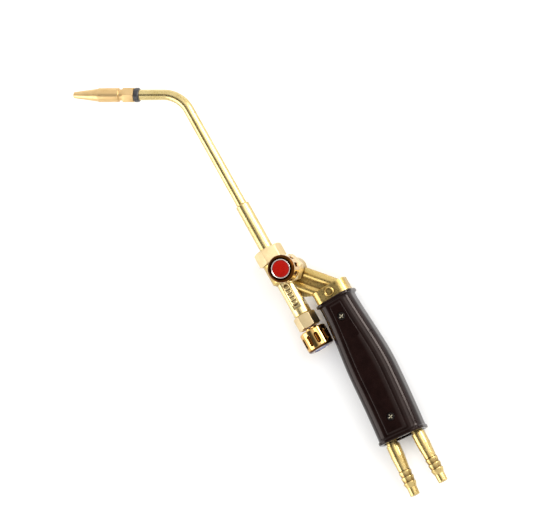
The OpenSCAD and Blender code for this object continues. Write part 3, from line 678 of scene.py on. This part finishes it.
def make_sleeve():
    """Ejector sleeve, with a small fillet of solder where the tube goes in."""
    turned("sleeve", "ejector_sleeve", EJECTOR, [
        (TUBE_R + 0.05, SLEEVE_START + 1, 0), (TUBE_R + 0.05, SLEEVE_START - 0.35, 0.1),
        (TUBE_R + 0.45, SLEEVE_START, 0.3), (SLEEVE_R - 0.7, SLEEVE_START + 0.05, 0.3),
        (SLEEVE_R, SLEEVE_START + 0.8, 0.5), (SLEEVE_R, COLLAR_START, 0.2), (COLLAR_R, COLLAR_START, 0.3),
        (COLLAR_R, COLLAR_END, 0.3), (NOSE_SEAT_R, COLLAR_END, 0.1),
        (NOSE_SEAT_R, NOSE_SEAT_END, 0.1), (CONE_R, NOSE_SEAT_END, 0), (CONE_R, CONE_FROM, 0),
        (TUBE_BORE_R, CONE_FROM, 0), (TUBE_BORE_R, SLEEVE_SOCKET + 0.1, 0),
        (TUBE_R + 0.05, SLEEVE_SOCKET + 0.1, 0),
    ])


def make_union_nut():
    clock = math.radians(43)
    inside = SPIGOT_R + 0.1

    def profile(angle):
        return [
            (SLEEVE_R + 0.3, UNION_START, 0),
            *hexagon_wall(angle, LARGE_HEX_AF, UNION_START, UNION_END - UNION_START, clock),
            (inside + 0.3, UNION_END, 0.1), (inside, UNION_END - 0.3, 0.1),
            (inside, UNION_START + 1.9, 0), (SLEEVE_R + 0.3, UNION_START + 1.9, 0),
        ]

    turned("union_nut_hexagon", "union_nut", EJECTOR, profile, hexagon_angles(LARGE_HEX_AF, clock))


def make_gland_nut(gas, matrix, start, across_flats, clock, thread_r, follower_r):
    def profile(angle):
        hole = SPINDLE_R + 0.1
        end = start + NUT_LEN
        face_r = across_flats / 2 * 0.86
        return [
            (thread_r + 0.05, start + 0.3, 0), (thread_r + 0.35, start, 0),
            *hexagon_wall(angle, across_flats, start, NUT_LEN, clock)[:3],
            (across_flats / 2 * 0.97, end - 0.25, 0.2), (face_r, end, 0.3),
            (hole + 0.5, end, 0.1), (hole, end - 0.4, 0.1),
            (hole, end - NUT_WALL - 2.8, 0), (follower_r - 0.1, end - NUT_WALL - 2.8, 0),
            (follower_r - 0.1, end - NUT_WALL, 0), (thread_r + 0.05, end - NUT_WALL, 0),
        ]

    turned(gas + "_gland_hexagon", gas + "_gland_nut", matrix, profile, hexagon_angles(across_flats, clock))


# ---------------------------------------------------------------- knobs


def flute_depth(angle, r, z):
    """How deep the grip flutes cut into a knob's wall at an angle and height."""
    pitch = 2 * math.pi / FLUTES
    beside = abs((angle + pitch / 2) % pitch - pitch / 2) * r
    beyond = max(FLUTE_FROM - z, 0, z - FLUTE_TO)
    out = r + FLUTE_SINK
    reach = FLUTE_R ** 2 - beside ** 2 - beyond ** 2
    return max(0, math.sqrt(reach) - (out - r)) if reach > 0 else 0


def make_knob(gas, matrix, segments=320):
    """Knob with ten closed flutes, a rounded end and a recess for its cap disc."""
    top = KNOB_H
    clock = FLUTE_CLOCK[gas]
    outside = rounded([
        (HUB_R, HUB_H, 0), (KNOB_R - 0.8, HUB_H, 0.3), (KNOB_R, HUB_H + 0.8, 0.5),
        (KNOB_R, top, KNOB_EDGE_R), (KNOB_R - 2 * KNOB_EDGE_R, top, 0),
    ], 10)
    outside = [p for p in outside if p.x > KNOB_R - KNOB_EDGE_R or p.y < top - 0.01]
    outside += [Vector((RECESS_R + 0.2, top)), Vector((RECESS_R + 0.1, top))]
    wall = [p for p in outside if p.x > KNOB_R - 0.01]
    low, high = min(p.y for p in wall), max(p.y for p in wall)
    at = next(i for i, p in enumerate(outside) if p.x > KNOB_R - 0.01)
    rest = [p for p in outside if p.x <= KNOB_R - 0.01]
    rows = 64
    path = rest[:at] + [Vector((KNOB_R, low + (high - low) * k / rows)) for k in range(rows + 1)] + rest[at:]
    inside = [
        (RECESS_R + 0.02, top - 0.08), (RECESS_R, top - 0.3), (RECESS_R, top - RECESS_DEPTH),
        (KNOB_WELL_R, top - RECESS_DEPTH), (KNOB_WELL_R, KNOB_WEB_TOP),
        (KNOB_SCREW_HOLE_R, KNOB_WEB_TOP), (KNOB_SCREW_HOLE_R, SPINDLE_SOCKET),
        (SPINDLE_R + 0.05, SPINDLE_SOCKET), (SPINDLE_R + 0.05, 0.2),
        (SPINDLE_R + 0.3, 0), (HUB_R - 0.3, 0), (HUB_R, 0.3),
    ]
    path += [Vector(p) for p in inside]

    def profile(angle):
        on_wall = [low - 0.1 < p.y < top - 0.5 and p.x > RECESS_R for p in path]
        return [(p.x - on * flute_depth(angle - clock, p.x, p.y), p.y, 0) for p, on in zip(path, on_wall)]

    grip = turned(gas + "_grip", gas + "_knob", matrix, profile, segments, smooth_angle=40)
    to_knob = matrix.inverted()

    def cavity(point):
        """Painted shade in the flutes, and a painted dark reflection on the end round the cap disc."""
        at = to_knob @ point / MM
        flute = flute_depth(math.atan2(at.y, at.x) - clock, KNOB_R, at.z) / 0.5
        return min(1, max(flute, (at.z - KNOB_H + 2.0) / 1.3))

    # Stored as cavity, which the knob's brass paints as shade and dark reflection
    store_values(grip, "cavity", [cavity(v.co) for v in grip.data.vertices])


def make_cap(gas, matrix):
    """Bright ring and coloured disc in the end of a knob."""
    base = KNOB_H - RECESS_DEPTH + 0.1
    ring_in = RECESS_R - RING_WALL
    turned(gas + "_ring", gas + "_cap_ring", matrix, [
        (RECESS_R - 0.05, base, 0), (RECESS_R - 0.05, KNOB_H + 0.05, 0.12),
        (RECESS_R - 0.3, KNOB_H + 0.2, 0.12), (ring_in + 0.25, KNOB_H + 0.2, 0.12),
        (ring_in, KNOB_H, 0.12), (ring_in, base, 0),
    ])
    turned(gas + "_disc", gas + "_cap_disc", matrix, [
        (0, base, 0), (DISC_R, base, 0), (DISC_R, KNOB_H - 0.45, 0.2), (DISC_R - 0.5, KNOB_H - 0.2, 0.25),
        (DISC_R * 0.6, KNOB_H - 0.06, 0.6), (0, KNOB_H - 0.02, 0),
    ], closed=False, smooth_angle=50)


# ---------------------------------------------------------------- hose tails


def make_hose_tail(gas):
    barbs = []
    for i in range(BARB_COUNT):
        z = WAIST_END + i * BARB_PITCH
        root = BARB_ROOT_R if i < BARB_COUNT - 1 else PIN_R
        barbs += [
            (BARB_R - 0.15, z, 0.12), (BARB_R, z + 0.25, 0.2), (BARB_R, z + BARB_LAND, 0.3),
            (root, z + BARB_PITCH - 0.15, 0.3),
        ]
    tail = turned(gas + "_tail", gas + "_hose_tail", tail_frame(gas), [
        (TAIL_SOCKET_R, TAIL_ROOT, 0), (TAIL_ROOT_R, TAIL_ROOT, 0.2), (TAIL_ROOT_R, 0.5, 0.1),
        (TAIL_BODY_R, 0.5, 0.2), (TAIL_BODY_R, 10, 2.5),
        # On the waist's slope, so that the painted shade at the foot of the first barb's step stays short
        (4.49, WAIST_END - 1.3, 0),
        (WAIST_R, WAIST_END, 0.2), *barbs, (PIN_R, TAIL_LEN - 0.5, 0.4), (PIN_R - 0.5, TAIL_LEN, 0.2),
        (TAIL_BORE_R + 0.4, TAIL_LEN, 0.2), (TAIL_BORE_R, TAIL_LEN - 0.5, 0.2),
        (TAIL_BORE_R, TAIL_SOCKET_END, 0), (TAIL_SOCKET_R, TAIL_SOCKET_END, 0),
    ])
    to_tail = tail_frame(gas).inverted()

    def cavity(point):
        """Painted shade at the foot of each barb's step."""
        at = to_tail @ point / MM
        before = min(abs(WAIST_END + i * BARB_PITCH - 0.1 - at.z) for i in range(BARB_COUNT))
        return max(0, 0.8 - before / 1.2) if math.hypot(at.x, at.y) < BARB_R - 0.2 else 0

    store_values(tail, "cavity", [cavity(v.co) for v in tail.data.vertices])


# ---------------------------------------------------------------- forged body


def hollows(mesh, rounds=60, full=0.3):
    """How far each vertex lies under a smoothed copy of the mesh, where full millimetres count as 1."""
    count = len(mesh.vertices)
    places = np.empty(count * 3)
    normals = np.empty(count * 3)
    edges = np.empty(len(mesh.edges) * 2, dtype=np.int64)
    mesh.vertices.foreach_get("co", places)
    mesh.vertices.foreach_get("normal", normals)
    mesh.edges.foreach_get("vertices", edges)
    places, normals, edges = places.reshape(-1, 3), normals.reshape(-1, 3), edges.reshape(-1, 2)
    ends = np.concatenate((edges[:, 0], edges[:, 1]))
    others = np.concatenate((edges[:, 1], edges[:, 0]))
    neighbours = np.maximum(1, np.bincount(ends, minlength=count))
    smooth = places.copy()
    for _ in range(rounds):
        near = smooth[others]
        sums = np.stack([np.bincount(ends, near[:, k], count) for k in range(3)], axis=1)
        smooth = (smooth + sums / neighbours[:, None]) / 2
    depth = ((smooth - places) * normals).sum(axis=1) / (full * MM)
    return np.clip(depth, -1, 1).astype(np.float32)


def machined(point):
    """1 on the stem and collar below the oxygen nut, which are cut from the forging, and 0 elsewhere."""
    at = EJECTOR.inverted() @ point / MM
    beside = max(abs(at.x), abs(at.y))
    return float(min(1, max(0, at.z - 11)) * min(1, max(0, (STEM_HALF_W + 1.2 - beside) / 0.8)))


def make_forging():
    """Copy of the body with its corners melted together like a forging's."""
    source = NODES["torch_body"]
    piece = source.copy()
    piece.data = source.data.copy()
    piece.name = "forging"
    bpy.context.scene.collection.objects.link(piece)
    piece.parent = None
    piece.matrix_world = source.matrix_world
    remesh = piece.modifiers.new("remesh", "REMESH")
    remesh.mode = "VOXEL"
    remesh.voxel_size = 0.26 * MM
    soften = piece.modifiers.new("soften", "SMOOTH")
    soften.factor = 0.5
    soften.iterations = 5
    made = bpy.data.meshes.new_from_object(piece.evaluated_get(bpy.context.evaluated_depsgraph_get()))
    piece.modifiers.clear()
    piece.data = made
    made.materials.clear()
    made.materials.append(MATERIALS[SLOTS["torch_body"]])
    made.shade_smooth()
    # Painted shade in the forging's hollows and painted highlight on its ridges, read from cavity by its
    # brass
    store_values(piece, "cavity", hollows(made))
    store_values(piece, "machined", [machined(v.co) for v in made.vertices])
    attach(piece, body_of(source)[0])
    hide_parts("torch_body")


# ---------------------------------------------------------------- handle


def flange_rise(e):
    """Height that an end flange adds, e millimetres from the end of the handle."""
    steps = [
        (0, 1.1), (0.25, 1.5), (0.6, FLANGE_EXTRA), (2.0, FLANGE_EXTRA),
        (2.4, 1.35), (2.7, 0.55), (3.4, 0.12), (4.6, 0),
    ]
    for (a, low), (b, high) in zip(steps, steps[1:]):
        if e <= b:
            return low + (high - low) * (e - a) / (b - a)
    return 0


def handle_outline(w, h, r, rise, corner_steps=14):
    """Upper half of the handle's section, from its +x side over to its -x side, in millimetres."""
    panel = w - r - 0.7
    points = [(w, 0.05), (w, 0.3)]
    for k in range(corner_steps + 1):
        a = math.pi / 2 * k / corner_steps
        points.append((w - r + r * math.cos(a), h - r + r * math.sin(a)))
    across = [1, 0.985, 0.97, 0.5, 0, -0.5, -0.97, -0.985, -1]
    lift = [0.35, 0.85, 1, 1, 1, 1, 1, 0.85, 0.35]
    points.append((panel + 0.35, h))
    points += [(panel * x, h + rise * f) for x, f in zip(across, lift)]
    points.append((-panel - 0.35, h))
    for k in range(corner_steps + 1):
        a = math.pi / 2 * (1 + k / corner_steps)
        points.append((r - w + r * math.cos(a), h - r + r * math.sin(a)))
    return points + [(-w, 0.3), (-w, 0.05)]


def handle_sections(s):
    """Outside and inside outlines of a cover at a station along the handle."""
    e = min(s, HANDLE_LEN - s)
    swell = min(1, s / SWELL_LEN)
    w = (FRONT_W + (REAR_W - FRONT_W) * swell * swell * (3 - 2 * swell)) / 2
    r = CORNER_FRONT + (CORNER_REAR - CORNER_FRONT) * s / HANDLE_LEN
    rise = flange_rise(e)
    side = rise * FLANGE_SIDES[0 if s < HANDLE_LEN / 2 else 1]
    outer = handle_outline(w + side, HANDLE_T / 2 + rise, r, PANEL_RISE * min(1, max(0, e - 5)))
    if s <= GRIP_LEN:
        inner = handle_outline(NECK_HALF_W + 0.1, NECK_HALF_H + 0.1, 3, 0)
    else:
        lip = LIP_DEPTH if HANDLE_LEN - s <= LIP_LEN or 5.05 <= HANDLE_LEN - s <= 6.05 else 0
        inner = handle_outline(w - COVER_WALL, HANDLE_T / 2 - COVER_WALL - lip, 6, 0)
    return outer, inner


def handle_stations():
    near = [0, 0.25, 0.6, 1.3, 2.0, 2.4, 2.7, 3.0, 3.4, 3.5, 4.0, 4.6, 5.05, 5.5, 6.05, 6.5]
    middle = 44
    inner_len = HANDLE_LEN - 2 * near[-1]
    ends = sorted(HANDLE_LEN - e for e in near + [1.4, 1.5])
    return near + [near[-1] + inner_len * k / middle for k in range(1, middle)] + ends


def make_cover(name, node, side):
    """One moulded cover: side is 1 for the top and -1 for the bottom."""
    stations = handle_stations()
    verts, faces = [], []
    for s in stations:
        place = handle_frame(s)
        for outline in handle_sections(s):
            verts += [place @ (Vector((x, side * y, 0)) * MM) for x, y in outline]
    n = len(handle_sections(50)[0])
    last = len(stations) - 1

    def at(i, inner, j):
        return (2 * i + inner) * n + j

    for i in range(last):
        for j in range(n - 1):
            faces.append((at(i, 0, j), at(i + 1, 0, j), at(i + 1, 0, j + 1), at(i, 0, j + 1)))
            faces.append((at(i, 1, j), at(i, 1, j + 1), at(i + 1, 1, j + 1), at(i + 1, 1, j)))
        for j in (0, n - 1):
            faces.append((at(i, 0, j), at(i, 1, j), at(i + 1, 1, j), at(i + 1, 0, j)))
    for i in (0, last):
        for j in range(n - 1):
            faces.append((at(i, 0, j), at(i, 0, j + 1), at(i, 1, j + 1), at(i, 1, j)))
    cover = new_piece(name, node, verts, faces, smooth_angle=32)
    if side > 0:
        cut_screw_holes(cover)


def cut_screw_holes(cover):
    """Counterbores for the heads of the handle screws, and holes for their shanks."""
    floor = HANDLE_T / 2 + PANEL_RISE - SCREW_HEAD_H - 0.3
    made = bmesh.new()
    for s in SCREW_STATIONS:
        place = screw_frame(s)
        for r, low, high in ((SCREW_HEAD_R + 0.2, floor, HANDLE_T), (SCREW_HOLE_R, 0, floor + 1)):
            bmesh.ops.create_cone(
                made, cap_ends=True, segments=64, radius1=r * MM, radius2=r * MM, depth=(high - low) * MM,
                matrix=shifted(place, z=(low + high) / 2),
            )
    mesh = bpy.data.meshes.new("screw_holes")
    made.to_mesh(mesh)
    made.free()
    cutter = bpy.data.objects.new("screw_holes", mesh)
    bpy.context.scene.collection.objects.link(cutter)
    cut = cover.modifiers.new("cut", "BOOLEAN")
    cut.operation = "DIFFERENCE"
    cut.solver = "EXACT"
    cut.use_self = True
    cut.object = cutter
    cover.data = bpy.data.meshes.new_from_object(cover.evaluated_get(bpy.context.evaluated_depsgraph_get()))
    cover.modifiers.clear()
    bpy.data.objects.remove(cutter)


def make_mould_ring():
    """Small raised ring that the mould leaves on the right shoulder of the handle."""
    outer, _ = handle_sections(MOULD_RING_AT)
    # Two neighbouring points near the middle of the outline's first rounded corner
    corner, beside = outer[8:10]
    out = Vector((beside[1] - corner[1], corner[0] - beside[0], 0)).normalized()
    x = Vector((0, 0, 1))
    local = Matrix((x, out.cross(x), out)).transposed().to_4x4()
    place = shifted(handle_frame(MOULD_RING_AT), corner[0], corner[1]) @ local
    turned("mould_ring", "handle_cover_top", place, [
        (0.95, -0.3, 0), (1.55, -0.3, 0), (1.45, 0.12, 0.1), (1.1, 0.12, 0.1),
    ])


def make_screw_heads():
    """Domed handle screws with cross recesses, and the shanks under them."""
    rings, segments = 22, 96
    top = HANDLE_T / 2 + PANEL_RISE - 0.15
    turn = math.radians(20)
    reach, half_w = 1.9, 0.45
    places = [screw_frame(s) for s in SCREW_STATIONS]

    def recess(x, y):
        """How far a point lies inside the cross recess, from 0 to 1."""
        x, y = x * math.cos(turn) + y * math.sin(turn), y * math.cos(turn) - x * math.sin(turn)
        arm = min(max(abs(x) - reach, abs(y) - half_w), max(abs(y) - reach, abs(x) - half_w))
        return min(1, max(0, -arm / 0.3))

    verts, faces = [], []
    for place in places:
        first = len(verts)
        for r in [SCREW_HEAD_R * (k / rings) ** 0.9 for k in range(rings + 1)]:
            for k in range(segments):
                a = 2 * math.pi * k / segments
                cut = recess(r * math.cos(a), r * math.sin(a)) * 0.95 * max(0.35, 1 - r / 2.6)
                dome = -0.16 * (r / SCREW_HEAD_R) ** 2 - 0.25 * max(0, r - SCREW_HEAD_R + 0.35) / 0.35
                verts.append(place @ (Vector((r * math.cos(a), r * math.sin(a), top + dome - cut)) * MM))
        under = top - SCREW_HEAD_H
        for r, z in ((SCREW_HEAD_R, under), (SCREW_SHANK_R, under), (SCREW_SHANK_R, -5), (0, -5)):
            for k in range(segments):
                a = 2 * math.pi * k / segments
                verts.append(place @ (Vector((r * math.cos(a), r * math.sin(a), z)) * MM))
        for i in range(rings + 4):
            for k in range(segments):
                m = (k + 1) % segments
                a, b = first + i * segments, first + (i + 1) * segments
                faces.append((a + k, a + m, b + m, b + k))
    screws = new_piece("cross_screws", "handle_screws", verts, faces, smooth_angle=40)

    def recess_glint(point):
        """The cross recess of the screw that the point is on, where the painted glint goes."""
        near = [place.inverted() @ point / MM for place in places]
        at = min(near, key=lambda p: abs(p.x) + abs(p.y))
        return recess(at.x, at.y) if at.z > 0 else 0

    store_values(screws, "recess_glint", [recess_glint(v.co) for v in screws.data.vertices])


# ---------------------------------------------------------------- the torch

OXYGEN_KNOB = shifted(EJECTOR, z=OXYGEN_NUT + KNOB_GAP)
ACETYLENE_KNOB = shifted(ACETYLENE, z=ACETYLENE_NUT + KNOB_GAP)

make_tip()
make_seal_ring()
make_neck_tube()
make_sleeve()
make_union_nut()
make_gland_nut(
    "oxygen", EJECTOR, OXYGEN_NUT, SMALL_HEX_AF, clock=math.radians(51), thread_r=5.5, follower_r=3.9,
)
make_gland_nut(
    "acetylene", ACETYLENE, ACETYLENE_NUT, LARGE_HEX_AF, clock=math.radians(49), thread_r=6.6,
    follower_r=4.6,
)
for gas, matrix in (("oxygen", OXYGEN_KNOB), ("acetylene", ACETYLENE_KNOB)):
    make_knob(gas, matrix)
    make_cap(gas, matrix)
    make_hose_tail(gas)
make_forging()
make_cover("grip_top", "handle_cover_top", 1)
make_cover("grip_bottom", "handle_cover_bottom", -1)
make_mould_ring()
make_screw_heads()

for name, node in NODES.items():
    node.data.materials.clear()
    node.data.materials.append(MATERIALS[SLOTS[name]])

# ---------------------------------------------------------------- camera

VIEW_TURN = math.radians(14.5)
VIEW_WIDTH = 0.3968
LENS = 900
SENSOR = 36
# Millimetres from the body to the middle of the picture
AIM_LEFT = 7.95
AIM_UP = 1.93


def make_camera():
    cam = bpy.data.objects.new("camera", bpy.data.cameras.new("camera"))
    bpy.context.scene.collection.objects.link(cam)
    cam.data.lens = LENS
    cam.data.sensor_width = SENSOR
    right = Vector((math.cos(VIEW_TURN), 0, -math.sin(VIEW_TURN)))
    up = Vector((0, 1, 0))
    back = Vector((math.sin(VIEW_TURN), 0, math.cos(VIEW_TURN)))
    distance = VIEW_WIDTH * LENS / SENSOR
    aim = BODY - right * AIM_LEFT * MM + up * AIM_UP * MM
    turn = Matrix((right, up, back)).transposed().to_4x4()
    cam.matrix_world = Matrix.Translation(aim + back * distance) @ turn
    cam.data.clip_end = 40
    bpy.context.scene.camera = cam


make_camera()

# ---------------------------------------------------------------- stage and light


def make_stage():
    bpy.ops.mesh.primitive_plane_add(size=8)
    floor = bpy.context.object
    floor.name = "floor"
    mat = bpy.data.materials.new("floor")
    mat.use_nodes = True
    bsdf = mat.node_tree.nodes["Principled BSDF"]
    bsdf.inputs["Base Color"].default_value = (0.97, 0.97, 0.97, 1)
    bsdf.inputs["Roughness"].default_value = 0.8
    bsdf.inputs["Specular IOR Level"].default_value = 0.2
    floor.data.materials.append(mat)


def add_light(name, place, target, size, power, size_y=None):
    data = bpy.data.lights.new(name, "AREA")
    data.shape = "RECTANGLE"
    data.size = size
    data.size_y = size_y or size
    data.energy = power
    light = bpy.data.objects.new(name, data)
    bpy.context.scene.collection.objects.link(light)
    light.location = place
    light.rotation_mode = "QUATERNION"
    light.rotation_quaternion = (Vector(target) - Vector(place)).to_track_quat("-Z", "Y")


# Direction, degrees inside which the tent is at its first strength and outside which it is at its second
TENT_ZONES = [
    # Dark, so that the tubes have something to show
    ((-0.38, -0.08, 0.92), 10, 23, 0.17, 1.0),
    # Half dark, round the dark zone
    ((-0.3, -0.03, 0.95), 10, 27, 0.5, 1.0),
    # Dark, low on the right, for the oxygen nut and knob
    ((0.86, 0.5, 0.02), 10, 25, 0.12, 1.0),
    # Dimmer, low on the left
    ((-0.86, -0.5, 0.05), 12, 50, 0.62, 1.0),
    # Brighter, high on the right
    ((0.6, 0.5, 0.6), 20, 100, 1.2, 1.04),
]


def make_studio():
    """A bright tent with three dark zones, a dimmer and a brighter one, for the brass to reflect."""
    world = bpy.data.worlds.new("studio")
    bpy.context.scene.world = world
    world.use_nodes = True
    tree = world.node_tree
    way = tree.nodes.new("ShaderNodeTexCoord").outputs["Generated"]

    def toward(direction, inner, outer, low, high):
        """low within inner degrees of a direction, high beyond outer degrees."""
        dot = tree.nodes.new("ShaderNodeVectorMath")
        dot.operation = "DOT_PRODUCT"
        tree.links.new(way, dot.inputs[0])
        dot.inputs[1].default_value = Vector(direction).normalized()
        span = tree.nodes.new("ShaderNodeMapRange")
        span.interpolation_type = "SMOOTHSTEP"
        tree.links.new(dot.outputs["Value"], span.inputs["Value"])
        span.inputs["From Min"].default_value = math.cos(math.radians(outer))
        span.inputs["From Max"].default_value = math.cos(math.radians(inner))
        span.inputs["To Min"].default_value = high
        span.inputs["To Max"].default_value = low
        return span.outputs["Result"]

    strength = toward(*TENT_ZONES[0])
    for zone in TENT_ZONES[1:]:
        product = tree.nodes.new("ShaderNodeMath")
        product.operation = "MULTIPLY"
        tree.links.new(strength, product.inputs[0])
        tree.links.new(toward(*zone), product.inputs[1])
        strength = product.outputs[0]
    tree.links.new(strength, tree.nodes["Background"].inputs["Strength"])
    tree.nodes["Background"].inputs["Color"].default_value = (1, 0.99, 0.975, 1)


make_stage()
make_studio()
add_light("key", (0.9, 0.75, 1.5), (0, 0, 0), size=0.8, power=5)
add_light("strip", (0.66, 0.5, 0.3), (0.05, -0.05, 0.02), size=0.5, power=6, size_y=0.3)
add_light("fill", (-1.3, -0.9, 0.8), (0, 0, 0), size=1.2, power=17)
bpy.context.scene.view_settings.view_transform = "Standard"
